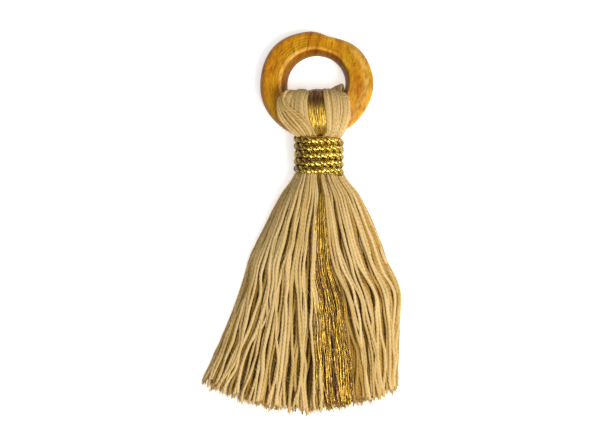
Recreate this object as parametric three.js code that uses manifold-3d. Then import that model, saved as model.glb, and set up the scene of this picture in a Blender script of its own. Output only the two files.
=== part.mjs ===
// A key tassel lying on its back: a wooden ring, a hank of cotton yarn folded over the ring's lower bar,
// a hank of gold thread folded over with it, and a gold cord wound round the neck of both.
// Millimetres, +Z up, the ring towards +Y, the underside flat on Z = 0.
import * as THREE from "three";
import { mergeVertices } from "three/addons/utils/BufferGeometryUtils.js";
import Module from "manifold-3d";

const wasm = await Module();
wasm.setup();

// Clear space kept between pieces that touch on the real tassel.
const GAP = 0.3;

const RING = {
  centre: [4.3, 35.8],
  halfWide: 15,
  halfHigh: 14.3,
  boreRadius: 7.5,
  depth: 5.3,
  outerRound: 2,
  boreRound: 1.9,
  flatAngle: 75,
  flatHalfAngles: [24, 12],
  flatDepth: 0.078,
  bulgeAngle: 130,
  bulgeHalfAngle: 22,
  bulgeHeight: 0.05,
  nearSideUp: 8,
  rightSideUp: 4,
  steps: 44,
  cornerSteps: 2,
};

const BINDING = {
  centre: [4.9, 5.5],
  halfWide: 6.7,
  halfDeep: 5.5,
  cord: 1.8,
  pitch: 2.02,
  turns: 5,
  startY: 21.3,
  sides: 8,
  stepsPerTurn: 24,
};

// The cotton hank from the crest of its fold to its cut ends: the left and right edges, the height of the
// middle of the row along Y, the underside and top, how far the row's two edges lie above its middle, and
// how square the section is (2 is an ellipse).
const HANK_ROWS = [
  { y: 34.3, left: -1.5, right: 10.5, under: 4.2, top: 8, rise: 0, square: 2.2 },
  { y: 33.7, left: -3.6, right: 12.3, under: 2.4, top: 9.8, rise: 0, square: 2.3 },
  { y: 32.2, left: -5, right: 13.6, under: 0.9, top: 11.3, rise: 0, square: 2.4 },
  { y: 30, left: -5.5, right: 14.2, under: 0, top: 12.1, rise: 0, square: 2.4 },
  { y: 27.5, left: -5.2, right: 14.1, under: 0, top: 12.1, rise: 0, square: 2.4 },
  { y: 25, left: -4.1, right: 13.4, under: 0.2, top: 11.5, rise: 0, square: 2.4 },
  { y: 23.2, left: -2, right: 11.8, under: 1.3, top: 10.3, rise: 0, square: 2.2 },
  { y: 22.3, left: 0.4, right: 9.4, under: 2.2, top: 8.9, rise: 0, square: 2 },
  { y: 20, left: 0.5, right: 9.3, under: 2.2, top: 8.8, rise: 0, square: 2 },
  { y: 15, left: 0.5, right: 9.3, under: 2.2, top: 8.8, rise: 0, square: 2 },
  { y: 10.2, left: 0.5, right: 9.3, under: 2.2, top: 8.8, rise: 0, square: 2 },
  { y: 9.3, left: -2, right: 12.2, under: 0.8, top: 10, rise: 0.1, square: 2.2 },
  { y: 6.5, left: -5.1, right: 15.1, under: 0, top: 10.6, rise: 0.6, square: 2.4 },
  { y: 0, left: -8.1, right: 18.1, under: 0, top: 10.2, rise: 1.2, square: 2.4 },
  { y: -8, left: -11.8, right: 20.9, under: 0, top: 9.6, rise: 2.1, square: 2.4 },
  { y: -17, left: -14.8, right: 24.4, under: 0, top: 8.9, rise: 3.1, square: 2.4 },
  { y: -25, left: -17, right: 26.3, under: 0, top: 8.3, rise: 4, square: 2.4 },
  { y: -33, left: -19.4, right: 26.2, under: 0, top: 7.7, rise: 4.9, square: 2.4 },
  { y: -42, left: -22.6, right: 25.9, under: 0, top: 7.1, rise: 5.8, square: 2.4 },
  { y: -50, left: -26.4, right: 25.9, under: 0, top: 6.5, rise: 6.3, square: 2.4 },
];
// headFlat and hemFlat are the shares of the section's height that are pressed flat on the surface, where the
// underside is lower than flatUntil. The skirt goes from one to the other between spreadFrom and spreadTo,
// counted down from Y = 0.
const HANK = {
  sides: 48,
  rows: 38,
  headFlat: 0.07,
  hemFlat: 0.3,
  flatUntil: 1.2,
  spreadFrom: -6,
  spreadTo: 30,
};

// The furrows between the main locks of the skirt: their place from the left edge (-1) to the right edge
// (+1), half width and depth as a share of the skirt's thickness. They grow from the neck to the cut ends.
const FURROWS = [
  { at: -0.72, half: 0.07, depth: 0.16 },
  { at: -0.4, half: 0.06, depth: 0.2 },
  { at: -0.12, half: 0.06, depth: 0.12 },
  { at: 0.66, half: 0.07, depth: 0.2 },
];

// The gold hank from its cut ends in front, up over the fold and down to its cut ends behind:
// the middle of the band, and half its width and thickness.
const GOLD_ROWS = [
  { x: 10, y: -49.6, z: 5.6, wide: 4.9, thick: 0.8 },
  { x: 8.6, y: -37.3, z: 6.9, wide: 4.3, thick: 0.8 },
  { x: 7.1, y: -25.7, z: 7.8, wide: 3.5, thick: 0.8 },
  { x: 5.3, y: -15.7, z: 8.6, wide: 3, thick: 0.8 },
  { x: 4.5, y: -7.3, z: 9.2, wide: 2.2, thick: 0.8 },
  { x: 4.6, y: 1, z: 9.8, wide: 1.7, thick: 0.8 },
  { x: 4.5, y: 7, z: 9.7, wide: 1.3, thick: 0.7 },
  { x: 4.6, y: 10.5, z: 8, wide: 1.3, thick: 0.5 },
  { x: 5.1, y: 16, z: 8, wide: 1.4, thick: 0.5 },
  { x: 5.5, y: 20.6, z: 8, wide: 1.5, thick: 0.5 },
  { x: 5.7, y: 22.9, z: 10, wide: 1.7, thick: 0.6 },
  { x: 5.5, y: 26, z: 11.6, wide: 1.8, thick: 0.8 },
  { x: 5, y: 29.5, z: 11.7, wide: 2, thick: 0.8 },
  { x: 4.5, y: 32.6, z: 10.2, wide: 1.9, thick: 0.8 },
  { x: 4.4, y: 33.9, z: 6.1, wide: 1.8, thick: 0.8 },
  { x: 4.4, y: 32.6, z: 2.1, wide: 1.8, thick: 0.8 },
  { x: 4.4, y: 29, z: 0.9, wide: 1.8, thick: 0.8 },
  { x: 4.5, y: 25.4, z: 1.1, wide: 1.6, thick: 0.8 },
  { x: 4.6, y: 22.2, z: 2.9, wide: 1.5, thick: 0.5 },
  { x: 4.7, y: 16, z: 2.9, wide: 1.5, thick: 0.5 },
  { x: 4.7, y: 9.8, z: 2.9, wide: 1.5, thick: 0.5 },
  { x: 4.7, y: 5.6, z: 1, wide: 1.8, thick: 0.8 },
  { x: 4.5, y: -5, z: 0.9, wide: 2.4, thick: 0.8 },
  { x: 4, y: -25, z: 0.9, wide: 3.4, thick: 0.8 },
  { x: 3.4, y: -49.4, z: 0.9, wide: 4.4, thick: 0.8 },
];
const GOLD = { sides: 10, rows: 72, squareness: 2.6 };

const FINISHES = {
  wood: new THREE.MeshStandardMaterial({ color: 0xb9741f, roughness: 0.38, metalness: 0 }),
  cotton: new THREE.MeshStandardMaterial({ color: 0xd8b987, roughness: 0.9, metalness: 0 }),
  goldThread: new THREE.MeshStandardMaterial({ color: 0xa8801f, roughness: 0.35, metalness: 0.8 }),
  goldCord: new THREE.MeshStandardMaterial({ color: 0xa98c24, roughness: 0.3, metalness: 0.85 }),
};

// Half the stretch of a loft, as a share of its length, over which its direction is measured.
const DIRECTION_STEP = 1e-3;

// How far the clearance round the gold hank runs past its cut ends, and how much more of it lies above and
// below the band than beside it.
const PAST_ENDS = 8;
const MORE_THROUGH = 1.5;

const radians = THREE.MathUtils.degToRad;

function solidOf(geometry) {
  const bare = geometry.clone();
  bare.deleteAttribute("normal");
  bare.deleteAttribute("uv");
  const merged = mergeVertices(bare, 1e-4);
  return new wasm.Manifold(
    new wasm.Mesh({
      numProp: 3,
      vertProperties: merged.attributes.position.array,
      triVerts: new Uint32Array(merged.index.array),
    }),
  );
}

function geometryOf(solid) {
  const mesh = solid.getMesh();
  const geometry = new THREE.BufferGeometry();
  geometry.setAttribute("position", new THREE.BufferAttribute(mesh.vertProperties, 3));
  geometry.setIndex(new THREE.BufferAttribute(mesh.triVerts, 1));
  geometry.computeVertexNormals();
  return geometry;
}

// Rows of named numbers as smooth functions of a share from 0 to 1.
function smoothRows(rows, keys) {
  const curves = keys.map((key) => {
    const points = rows.map((row) => new THREE.Vector3(row[key], 0, 0));
    return new THREE.CatmullRomCurve3(points, false, "catmullrom", 0.5);
  });
  return (share) => {
    const found = {};
    keys.forEach((key, i) => {
      found[key] = curves[i].getPoint(share).x;
    });
    return found;
  };
}

// A closed cylinder of unit radius whose every point is moved by place(share, across, through): share runs
// from 0 at its foot to 1 at its head, and across and through are its place in the round section.
function loft(sides, rows, place) {
  const geometry = new THREE.CylinderGeometry(1, 1, 1, sides, rows);
  const position = geometry.attributes.position;
  for (let i = 0; i < position.count; i += 1) {
    const share = position.getY(i) + 0.5;
    const moved = place(share, position.getX(i), position.getZ(i));
    position.setXYZ(i, moved.x, moved.y, moved.z);
  }
  return geometry;
}

// A point of the unit circle, or inside it, moved out towards a square with round corners.
function squared(across, through, squareness) {
  const radius = Math.hypot(across, through);
  if (radius < 1e-9) return [0, 0];
  const power = 2 / squareness;
  const grow = (value) => Math.sign(value) * Math.abs(value / radius) ** power * radius;
  return [grow(across), grow(through)];
}

// The ring's outline: a slightly flattened round with a flat stretch and a bulge, from hand finishing.
function ringOutline(x, y) {
  const near = (middle, [before, after]) => {
    const away = Math.atan2(y, x) - radians(middle);
    const turned = Math.atan2(Math.sin(away), Math.cos(away));
    return Math.exp(-((turned / radians(turned < 0 ? before : after)) ** 2));
  };
  const flat = RING.flatDepth * near(RING.flatAngle, RING.flatHalfAngles);
  const bulge = RING.bulgeHeight * near(RING.bulgeAngle, [RING.bulgeHalfAngle, RING.bulgeHalfAngle]);
  const outward = (Math.hypot(x, y) - RING.boreRadius) / (RING.halfWide - RING.boreRadius);
  const pull = 1 + (bulge - flat) * Math.max(outward, 0);
  const flatten = 1 - (1 - RING.halfHigh / RING.halfWide) * Math.max(outward, 0);
  return [x * pull, y * pull * flatten];
}

function ringGeometry(extra) {
  const inner = RING.boreRadius - extra;
  const outer = RING.halfWide + extra;
  const half = RING.depth / 2 + extra;
  const corner = (radius, height, round, from) => {
    const points = [];
    for (let i = 0; i <= RING.cornerSteps; i += 1) {
      const angle = radians(from + (90 * i) / RING.cornerSteps);
      points.push(new THREE.Vector2(radius + round * Math.cos(angle), height + round * Math.sin(angle)));
    }
    return points;
  };
  const { outerRound, boreRound } = RING;
  const section = [
    ...corner(outer - outerRound, -half + outerRound, outerRound, -90),
    ...corner(outer - outerRound, half - outerRound, outerRound, 0),
    ...corner(inner + boreRound, half - boreRound, boreRound, 90),
    ...corner(inner + boreRound, -half + boreRound, boreRound, 180),
  ];
  section.push(section[0].clone());
  const geometry = new THREE.LatheGeometry(section, RING.steps);
  geometry.rotateX(Math.PI / 2);
  const position = geometry.attributes.position;
  for (let i = 0; i < position.count; i += 1) {
    const [x, y] = ringOutline(position.getX(i), position.getY(i));
    position.setXY(i, x, y);
  }
  geometry.rotateY(-radians(RING.rightSideUp));
  geometry.rotateX(-radians(RING.nearSideUp));
  return geometry;
}

// The height at which the tilted ring's lowest point meets the surface.
function ringHeight() {
  const geometry = ringGeometry(0);
  geometry.computeBoundingBox();
  return -geometry.boundingBox.min.z;
}

function placedRing(extra) {
  const [x, y] = RING.centre;
  return ringGeometry(extra).translate(x, y, ringHeight());
}

class WoundCord extends THREE.Curve {
  getPoint(share, target = new THREE.Vector3()) {
    const angle = 2 * Math.PI * BINDING.turns * share - Math.PI / 2;
    const [x, z] = BINDING.centre;
    return target.set(
      x - (BINDING.halfWide - BINDING.cord / 2) * Math.cos(angle),
      BINDING.startY - BINDING.pitch * BINDING.turns * share,
      z + (BINDING.halfDeep - BINDING.cord / 2) * Math.sin(angle),
    );
  }
}

function bindingGeometry() {
  const section = new THREE.Shape();
  for (let i = 0; i < BINDING.sides; i += 1) {
    const angle = (2 * Math.PI * i) / BINDING.sides;
    const x = (BINDING.cord / 2) * Math.cos(angle);
    const y = (BINDING.cord / 2) * Math.sin(angle);
    if (i === 0) section.moveTo(x, y);
    else section.lineTo(x, y);
  }
  section.closePath();
  return new THREE.ExtrudeGeometry(section, {
    extrudePath: new WoundCord(),
    steps: BINDING.stepsPerTurn * BINDING.turns,
    bevelEnabled: false,
  });
}

function cottonGeometry() {
  const rowAt = smoothRows(HANK_ROWS, ["y", "left", "right", "under", "top", "rise", "square"]);
  return loft(HANK.sides, HANK.rows, (share, across, through) => {
    const row = rowAt(1 - share);
    const [u, w] = squared(across, through, row.square);
    const inSkirt = THREE.MathUtils.smoothstep(-row.y, HANK.spreadFrom, HANK.spreadTo);
    const flatHere = THREE.MathUtils.lerp(HANK.headFlat, HANK.hemFlat, inSkirt);
    const flat = flatHere * Math.max(1 - row.under / HANK.flatUntil, 0);
    const lifted = Math.max((w + 1) / 2 - flat, 0) / (1 - flat);
    const furrow = FURROWS.reduce((sum, f) => sum + f.depth * Math.exp(-(((u - f.at) / f.half) ** 2)), 0);
    const height = (row.top - row.under) * lifted * (1 - (w > 0 ? furrow * inSkirt : 0));
    return {
      x: (row.left + row.right) / 2 + (u * (row.right - row.left)) / 2,
      y: row.y + row.rise * u * u,
      z: Math.max(row.under, 0) + height,
    };
  });
}

function goldGeometry(extra) {
  const keys = ["x", "y", "z", "wide", "thick"];
  const rowAt = smoothRows(GOLD_ROWS, keys);
  return loft(GOLD.sides, GOLD.rows, (share, across, through) => {
    const row = rowAt(share);
    const before = rowAt(Math.max(share - DIRECTION_STEP, 0));
    const after = rowAt(Math.min(share + DIRECTION_STEP, 1));
    const along = new THREE.Vector2(after.y - before.y, after.z - before.z).normalize();
    const [u, w] = squared(across, through, GOLD.squareness);
    const pastEnd = share === 0 || share === 1 ? PAST_ENDS * extra : 0;
    const onward = share < 0.5 ? -pastEnd : pastEnd;
    const out = w * (row.thick + MORE_THROUGH * extra);
    return {
      x: row.x + u * (row.wide + extra),
      y: row.y + onward * along.x - out * along.y,
      z: extra > 0 ? row.z + out * along.x : Math.max(row.z + out * along.x, 0),
    };
  });
}

function named(name, geometry, material) {
  const mesh = new THREE.Mesh(geometry, material);
  mesh.name = name;
  return mesh;
}

const cotton = solidOf(cottonGeometry())
  .subtract(solidOf(placedRing(GAP)))
  .subtract(solidOf(goldGeometry(GAP)));

const tassel = new THREE.Group();
tassel.add(
  named("wooden_ring", placedRing(0), FINISHES.wood),
  named("cotton_hank", geometryOf(cotton), FINISHES.cotton),
  named("gold_thread_hank", goldGeometry(0), FINISHES.goldThread),
  named("binding_cord", bindingGeometry(), FINISHES.goldCord),
);

export default tassel;
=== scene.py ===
"""A key tassel lying on its back: a varnished wooden ring, a hank of cotton yarn and gold thread folded over
the ring's lower bar, and a twisted gold cord wound five turns round the neck.

Sizes in the classes are millimetres. Meshes are made in metres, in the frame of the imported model: +X to the
right, +Y from the cut ends to the ring, +Z up from the surface.
"""

import logging
import math
from collections.abc import Callable
from dataclasses import dataclass, field, replace
from enum import Enum

import bpy
import numpy as np
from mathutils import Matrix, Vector


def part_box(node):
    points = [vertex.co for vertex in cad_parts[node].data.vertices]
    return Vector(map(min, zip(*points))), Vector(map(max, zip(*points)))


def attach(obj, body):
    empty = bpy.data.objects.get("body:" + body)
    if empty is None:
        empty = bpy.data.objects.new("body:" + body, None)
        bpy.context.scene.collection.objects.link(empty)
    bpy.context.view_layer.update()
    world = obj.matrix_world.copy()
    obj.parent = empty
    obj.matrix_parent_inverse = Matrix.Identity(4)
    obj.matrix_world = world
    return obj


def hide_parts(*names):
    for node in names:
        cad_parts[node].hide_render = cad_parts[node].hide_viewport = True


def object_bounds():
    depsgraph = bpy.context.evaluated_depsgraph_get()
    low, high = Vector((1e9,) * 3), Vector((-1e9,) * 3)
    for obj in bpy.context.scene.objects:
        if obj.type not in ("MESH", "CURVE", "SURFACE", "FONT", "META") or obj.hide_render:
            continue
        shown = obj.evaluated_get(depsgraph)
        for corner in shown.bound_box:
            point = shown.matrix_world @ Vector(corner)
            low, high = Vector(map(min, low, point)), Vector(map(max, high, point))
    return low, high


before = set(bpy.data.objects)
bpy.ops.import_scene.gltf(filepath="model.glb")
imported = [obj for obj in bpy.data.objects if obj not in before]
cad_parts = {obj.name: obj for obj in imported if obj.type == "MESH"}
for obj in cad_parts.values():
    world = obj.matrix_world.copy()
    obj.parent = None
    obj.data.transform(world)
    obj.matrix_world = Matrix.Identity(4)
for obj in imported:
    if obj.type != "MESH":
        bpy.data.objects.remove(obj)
CAD_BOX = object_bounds()

MM = 0.001
log = logging.getLogger("tassel")

Array = np.ndarray
Rng = np.random.Generator
Piece = bpy.types.Object
Material = bpy.types.Material
Socket = bpy.types.NodeSocket
Test = Callable[[Vector], bool]


class Leg(Enum):
    """The side of the tassel that a folded strand's leg lies on."""

    FRONT = 1
    BACK = -1


# ---- Small helpers ----


def box_mm(node: str) -> tuple[Array, Array]:
    """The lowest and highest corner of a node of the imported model, in millimetres.

    Args:
        node: The node's name.

    Returns:
        The two corners.
    """
    low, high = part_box(node)
    return np.array(low) / MM, np.array(high) / MM


def deselect_all() -> None:
    """Leaves object mode with nothing selected."""
    if bpy.context.object and bpy.context.object.mode != "OBJECT":
        bpy.ops.object.mode_set(mode="OBJECT")
    bpy.ops.object.select_all(action="DESELECT")


def smooth_noise(rng: Rng, strands: int, knots: int, spacing: int) -> Array:
    """Random numbers that change slowly along each strand.

    Args:
        rng: The source of random numbers.
        strands: How many strands.
        knots: How many values along each.
        spacing: How many values apart the independent ones are.

    Returns:
        An array of strands by knots, each value usually between -1 and 1.
    """
    coarse = rng.normal(0.0, 0.5, (strands, knots // spacing + 3))
    at = np.arange(knots) / spacing
    low = at.astype(int)
    share = at - low
    share = share * share * (3 - 2 * share)
    return coarse[:, low] * (1 - share) + coarse[:, low + 1] * share


def along_knots(knots: Array, step: float) -> Array:
    """Smooth paths through knots, with points an even distance apart.

    Args:
        knots: Strands by knots by 3, in millimetres.
        step: The distance between points.

    Returns:
        Strands by points by 3.
    """
    chords = np.linalg.norm(np.diff(knots, axis=1), axis=2).mean(axis=0)
    at = np.concatenate([[0.0], np.cumsum(np.maximum(chords, 1e-6))])
    slope = np.empty_like(knots)
    slope[:, 1:-1] = (knots[:, 2:] - knots[:, :-2]) / (at[2:] - at[:-2])[None, :, None]
    slope[:, 0] = (knots[:, 1] - knots[:, 0]) / (at[1] - at[0])
    slope[:, -1] = (knots[:, -1] - knots[:, -2]) / (at[-1] - at[-2])
    wanted = np.linspace(0.0, at[-1], max(2, int(at[-1] / step) + 1))
    i = np.clip(np.searchsorted(at, wanted, side="right") - 1, 0, len(at) - 2)
    gap = (at[i + 1] - at[i])[None, :, None]
    f = ((wanted - at[i]) / (at[i + 1] - at[i]))[None, :, None]
    f2, f3 = f * f, f * f * f
    return (
        (2 * f3 - 3 * f2 + 1) * knots[:, i]
        + (f3 - 2 * f2 + f) * gap * slope[:, i]
        + (3 * f2 - 2 * f3) * knots[:, i + 1]
        + (f3 - f2) * gap * slope[:, i + 1]
    )


def rise(value: Array, start: float | Array, width: float | Array) -> Array:
    """A ramp that rises with the value.

    Args:
        value: The values to place on the ramp.
        start: Where the ramp leaves 0.
        width: How far it takes to reach 1.

    Returns:
        Numbers from 0 to 1.
    """
    return np.clip((value - start) / width, 0, 1)


def fall(value: Array, end: float, width: float) -> Array:
    """A ramp that falls with the value.

    Args:
        value: The values to place on the ramp.
        end: Where the ramp reaches 0.
        width: How far before the end it is still 1.

    Returns:
        Numbers from 0 to 1.
    """
    return np.clip((end - value) / width, 0, 1)


def hump(value: Array, middle: float, width: float | Array) -> Array:
    """A smooth hump.

    Args:
        value: The values to place on the hump.
        middle: Where the hump is 1.
        width: How far to each side it has fallen to about a third.

    Returns:
        Numbers from 0 to 1.
    """
    return np.exp(-(((value - middle) / width) ** 2))


def unit(vectors: Array) -> Array:
    """Vectors scaled to length one."""
    return vectors / np.maximum(np.linalg.norm(vectors, axis=-1, keepdims=True), 1e-12)


def frames_along(paths: Array) -> tuple[Array, Array]:
    """Two directions square to each path that don't twist round it.

    Args:
        paths: Strands by points by 3.

    Returns:
        The two sets of directions, each strands by points by 3.
    """
    tangent = unit(np.gradient(paths, axis=1))
    side = np.empty_like(tangent)
    helper = np.where(np.abs(tangent[:, 0, 2:3]) < 0.9, [[0.0, 0.0, 1.0]], [[1.0, 0.0, 0.0]])
    side[:, 0] = unit(np.cross(tangent[:, 0], helper))
    for s in range(1, paths.shape[1]):
        before, now = side[:, s - 1], tangent[:, s]
        side[:, s] = unit(before - (before * now).sum(axis=1, keepdims=True) * now)
    return side, np.cross(tangent, side)


@dataclass
class StrandMesh:
    """Closed strands collected as arrays, then made one mesh object."""

    sides: int
    points: list[Array] = field(default_factory=list)
    quads: list[Array] = field(default_factory=list)
    caps: list[Array] = field(default_factory=list)
    quad_uvs: list[Array] = field(default_factory=list)
    tones: list[Array] = field(default_factory=list)
    count: int = 0

    def add(
        self,
        paths: Array,
        radii: Array,
        tones: Array,
        flat: float = 1.0,
        turns_per_mm: float = 0.0,
        starts: Array | None = None,
    ) -> None:
        """Sweeps a section along each path.

        Args:
            paths: Strands by points by 3, in millimetres.
            radii: Strands by points.
            tones: Strands by points, kept as the attribute "tone".
            flat: The section's thickness as a share of its width.
            turns_per_mm: How fast the section turns round the path.
            starts: The section's angle at each strand's first point, in radians.
        """
        n, s, _ = paths.shape
        side, other = frames_along(paths)
        step = np.linalg.norm(np.diff(paths, axis=1), axis=2)
        run = np.concatenate([np.zeros((n, 1)), np.cumsum(step, axis=1)], axis=1)
        turn = 2 * math.pi * turns_per_mm * run
        if starts is not None:
            turn = turn + starts[:, None]
        angle = 2 * math.pi * np.arange(self.sides) / self.sides
        wide, thick = np.cos(angle), np.sin(angle) * flat
        cos, sin = np.cos(turn)[..., None], np.sin(turn)[..., None]
        across = wide * cos - thick * sin
        through = wide * sin + thick * cos
        ring = paths[:, :, None] + radii[:, :, None, None] * (
            across[..., None] * side[:, :, None] + through[..., None] * other[:, :, None]
        )
        # Nothing goes below the surface that the tassel lies on.
        ring[..., 2] = np.maximum(ring[..., 2], 0.0)
        self.points.append(ring.reshape(-1, 3))
        base = self.count + (np.arange(n * s) * self.sides).reshape(n, s, 1)
        j = np.arange(self.sides)
        nxt = (j + 1) % self.sides
        a = base[:, :-1] + j
        b = base[:, :-1] + nxt
        c = base[:, 1:] + nxt
        d = base[:, 1:] + j
        self.quads.append(np.stack([a, b, c, d], axis=-1).reshape(-1, 4))
        # U runs once round the strand, and V is the length along it in millimetres.
        u0 = np.broadcast_to(j / self.sides, a.shape)
        u1 = np.broadcast_to((j + 1) / self.sides, a.shape)
        v0 = np.broadcast_to(run[:, :-1, None], a.shape)
        v1 = np.broadcast_to(run[:, 1:, None], a.shape)
        uv = np.stack([u0, v0, u1, v0, u1, v1, u0, v1], axis=-1)
        self.quad_uvs.append(uv.reshape(-1, 2))
        self.caps.append((base[:, 0] + j[::-1]).reshape(-1, self.sides))
        self.caps.append((base[:, -1] + j).reshape(-1, self.sides))
        self.tones.append(np.repeat(tones.reshape(-1), self.sides))
        self.count += n * s * self.sides

    def build(self, name: str, material: Material) -> Piece:
        """Makes the object.

        Args:
            name: The piece's name.
            material: Its finish.

        Returns:
            The new object, linked to the scene.
        """
        points = np.concatenate(self.points) * MM
        quads = np.concatenate(self.quads)
        caps = np.concatenate(self.caps)
        loops = np.concatenate([quads.reshape(-1), caps.reshape(-1)])
        totals = np.concatenate([np.full(len(quads), 4), np.full(len(caps), self.sides)])
        uvs = np.concatenate([*self.quad_uvs, np.zeros((caps.size, 2))])
        mesh = bpy.data.meshes.new(name)
        mesh.vertices.add(len(points))
        mesh.vertices.foreach_set("co", points.astype(np.float32).ravel())
        mesh.loops.add(len(loops))
        mesh.loops.foreach_set("vertex_index", loops.astype(np.int32))
        mesh.polygons.add(len(totals))
        starts = np.concatenate([[0], np.cumsum(totals)[:-1]])
        mesh.polygons.foreach_set("loop_start", starts.astype(np.int32))
        mesh.polygons.foreach_set("loop_total", totals.astype(np.int32))
        mesh.polygons.foreach_set("use_smooth", np.full(len(totals), True))
        layer = mesh.uv_layers.new(name="strand")
        layer.data.foreach_set("uv", uvs.astype(np.float32).ravel())
        tone = mesh.attributes.new("tone", "FLOAT", "POINT")
        tone.data.foreach_set("value", np.concatenate(self.tones).astype(np.float32))
        mesh.update(calc_edges=True)
        mesh.validate()
        mesh.materials.append(material)
        piece = bpy.data.objects.new(name, mesh)
        bpy.context.scene.collection.objects.link(piece)
        return piece


def places(piece: Piece) -> Array:
    """Where a mesh's vertices are, as rows of three numbers."""
    return np.array([v.co[:] for v in piece.data.vertices])


def move_to(piece: Piece, where: Array) -> None:
    """Moves a mesh's vertices to new places, given as rows of three numbers."""
    piece.data.vertices.foreach_set("co", where.astype(np.float32).ravel())


def hand_over(piece: Piece, slot: str, *nodes: str) -> None:
    """Puts a finished piece in the frame.

    Args:
        piece: The piece.
        slot: Not used.
        nodes: The CAD nodes that it stands for.
    """
    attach(piece, "root")
    if nodes:
        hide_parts(*nodes)
    faces = sum(len(p.vertices) - 2 for p in piece.data.polygons)
    log.info("%s: %d triangles", piece.name, faces)


# ---- Finishes ----

WHITE = (1.0, 1.0, 1.0)
BLACK = (0.0, 0.0, 0.0)


class NodeTree:
    """A material's node tree, with short ways to add and join nodes."""

    def __init__(self, name: str) -> None:
        """Starts a material with one Principled shader."""
        self.material = bpy.data.materials.new(name)
        self.material.use_nodes = True
        self.nodes = self.material.node_tree.nodes
        self.links = self.material.node_tree.links
        self.shader = self.nodes["Principled BSDF"]

    def add(self, kind: str, **settings: object) -> bpy.types.Node:
        """Adds a node.

        Args:
            kind: The node's class name without "ShaderNode".
            settings: Attributes of the node, or default values of its inputs by name.

        Returns:
            The node.
        """
        node = self.nodes.new("ShaderNode" + kind)
        for key, value in settings.items():
            if key in node.inputs:
                node.inputs[key].default_value = value
            else:
                setattr(node, key, value)
        return node

    def join(self, out: Socket, into: Socket) -> None:
        """Links two sockets."""
        self.links.new(out, into)

    def ramp(self, factor: Socket, stops: list[tuple]) -> Socket:
        """A colour ramp.

        Args:
            factor: The socket that drives it.
            stops: Positions, each with a colour of three numbers.

        Returns:
            The ramp's colour socket.
        """
        node = self.add("ValToRGB")
        ramp = node.color_ramp
        while len(ramp.elements) < len(stops):
            ramp.elements.new(0.5)
        for element, (place, colour) in zip(ramp.elements, stops):
            element.position = place
            element.color = (*colour, 1.0)
        self.join(factor, node.inputs["Fac"])
        return node.outputs["Color"]

    def math(self, operation: str, a: object, b: object = 0.0) -> Socket:
        """One sum of two sockets or numbers.

        Args:
            operation: The Math node's operation.
            a: The first socket or number.
            b: The second socket or number.

        Returns:
            The result's socket.
        """
        node = self.add("Math", operation=operation)
        for value, socket in zip((a, b), node.inputs):
            if isinstance(value, Socket):
                self.join(value, socket)
            else:
                socket.default_value = float(value)
        return node.outputs[0]

    def times(self, a: object, b: object) -> Socket:
        """The product of two sockets or numbers."""
        return self.math("MULTIPLY", a, b)

    def plus(self, a: object, b: object) -> Socket:
        """The sum of two sockets or numbers."""
        return self.math("ADD", a, b)

    def attribute(self, name: str) -> Socket:
        """The number that an attribute of the mesh holds."""
        return self.add("Attribute", attribute_name=name).outputs["Fac"]

    def strand_place(self) -> tuple[Socket, Socket]:
        """The place round a strand, in turns, and along it, in millimetres."""
        split = self.add("SeparateXYZ")
        self.join(self.add("UVMap", uv_map="strand").outputs[0], split.inputs[0])
        return split.outputs["X"], split.outputs["Y"]

    def noise(self, place: Socket, scale: float, detail: float, rough: float = 0.5) -> Socket:
        """Noise, as a number that is mostly between 0.3 and 0.7.

        Args:
            place: Where the noise is read.
            scale: How often it changes in a unit of the place.
            detail: Its detail.
            rough: Its roughness.

        Returns:
            The noise's socket.
        """
        node = self.add("TexNoise", Scale=scale, Detail=detail, Roughness=rough)
        self.join(place, node.inputs["Vector"])
        return node.outputs["Fac"]

    def span(self, value: Socket, before: tuple, after: tuple) -> Socket:
        """Moves a number from one range to another.

        Args:
            value: The number's socket.
            before: The two ends of the range that it comes from.
            after: The two ends of the range that it goes to.

        Returns:
            The result's socket.
        """
        node = self.add("MapRange")
        self.join(value, node.inputs["Value"])
        for name, end in zip(("From Min", "From Max", "To Min", "To Max"), (*before, *after)):
            node.inputs[name].default_value = end
        return node.outputs[0]

    def mix(self, factor: object, a: object, b: object, blend: str = "MIX") -> Socket:
        """Mixes two colours.

        Args:
            factor: How much of b, a socket or a number.
            a: A colour or a colour socket.
            b: A colour or a colour socket.
            blend: The Mix node's blend type.

        Returns:
            The mixed colour's socket.
        """
        node = self.add("Mix", data_type="RGBA", blend_type=blend)
        for value, socket in zip((factor, a, b), (node.inputs[0], node.inputs[6], node.inputs[7])):
            if isinstance(value, Socket):
                self.join(value, socket)
            elif isinstance(value, tuple):
                socket.default_value = (*value, 1.0)
            else:
                socket.default_value = float(value)
        return node.outputs[2]

    def bump(self, height: Socket, distance: float, strength: float) -> None:
        """Raises the surface by a height.

        Args:
            height: The height's socket.
            distance: How far a height of one stands up, in metres.
            strength: How much of the bump shows.
        """
        node = self.add("Bump", Distance=distance, Strength=strength)
        self.join(height, node.inputs["Height"])
        self.join(node.outputs["Normal"], self.shader.inputs["Normal"])


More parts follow.
